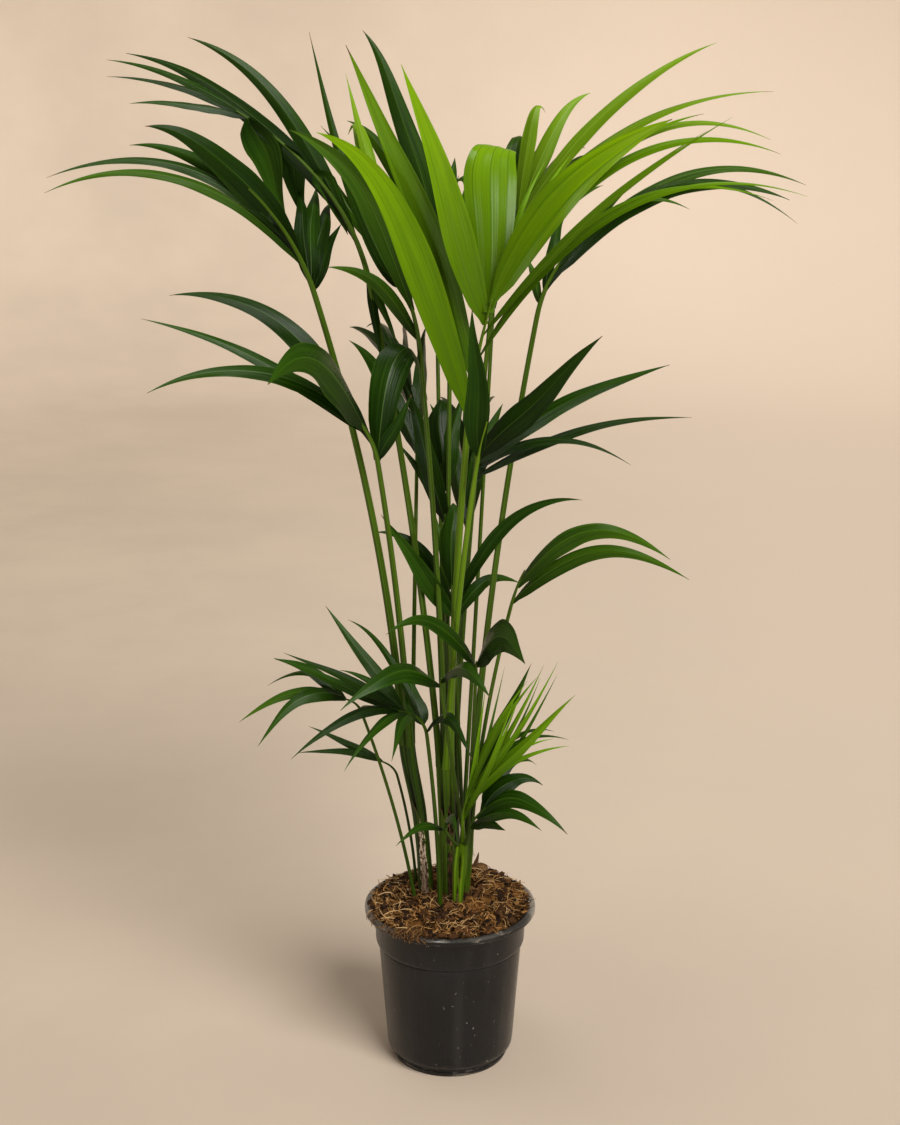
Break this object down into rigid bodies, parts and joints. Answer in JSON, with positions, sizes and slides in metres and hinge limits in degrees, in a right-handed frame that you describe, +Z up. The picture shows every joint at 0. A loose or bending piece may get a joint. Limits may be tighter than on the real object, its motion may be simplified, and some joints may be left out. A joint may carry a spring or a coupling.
{
  "type": "potted kentia palm",
  "caption": "Potted kentia palm: slim green stems and long upright petioles rise from a round black nursery pot and carry arching, glossy dark green fronds with one yellow-green young frond.",
  "frame": {"origin": "middle of the pot's flat underside, where the plant stands", "axes": "+Z up the plant; +X to the right and +Y to the back as the plant is seen from its front"},
  "size_m": [0.8302, 0.6407, 1.2335],
  "materials": {
    "pot": "satin black moulded plastic, dusty at the rim",
    "potting_mix": "rough coir and bark mix",
    "stem": "green sheathed stem with brown fibres at its foot",
    "petiole": "smooth satin green stalk",
    "leaf": "glossy pleated dark green leaf",
    "young_leaf": "satin yellow-green young leaf"
  },
  "bodies": {
    "root": {"pot": "pot", "soil": "potting_mix", "stem_left": "stem", "stem_centre": "stem", "stem_back": "stem", "stem_right": "stem", "stem_front": "stem", "petiole_left": "petiole", "petiole_upper_left": "petiole", "petiole_centre_left": "petiole", "petiole_bright": "petiole", "petiole_mid_right": "petiole", "petiole_back": "petiole", "petiole_right_back": "petiole", "petiole_back_mid": "petiole", "petiole_rear_high": "petiole", "petiole_rear_low": "petiole", "petiole_rear_right": "petiole", "petiole_rear_left": "petiole", "petiole_mid_left": "petiole", "petiole_right": "petiole", "petiole_low_right": "petiole", "petiole_pair_right": "petiole", "petiole_pair_left": "petiole", "petiole_low_bright": "petiole", "petiole_low_dark": "petiole", "petiole_seedling": "petiole", "petiole_low_left": "petiole", "petiole_side_left": "petiole", "petiole_side_left_low": "petiole", "petiole_low_back": "petiole", "frond_left": "leaf", "frond_upper_left": "leaf", "frond_centre_left": "leaf", "frond_bright": "young_leaf", "frond_mid_right": "leaf", "frond_back": "leaf", "frond_right_back": "leaf", "frond_back_mid": "leaf", "frond_rear_high": "leaf", "frond_rear_low": "leaf", "frond_rear_right": "leaf", "frond_rear_left": "leaf", "frond_mid_left": "leaf", "frond_right": "leaf", "frond_low_right": "leaf", "frond_pair_right": "leaf", "frond_pair_left": "leaf", "frond_low_bright": "young_leaf", "frond_low_dark": "leaf", "frond_seedling": "leaf", "frond_low_left": "leaf", "frond_side_left": "leaf", "frond_side_left_low": "leaf", "frond_low_back": "leaf"}
  },
  "joints": []
}
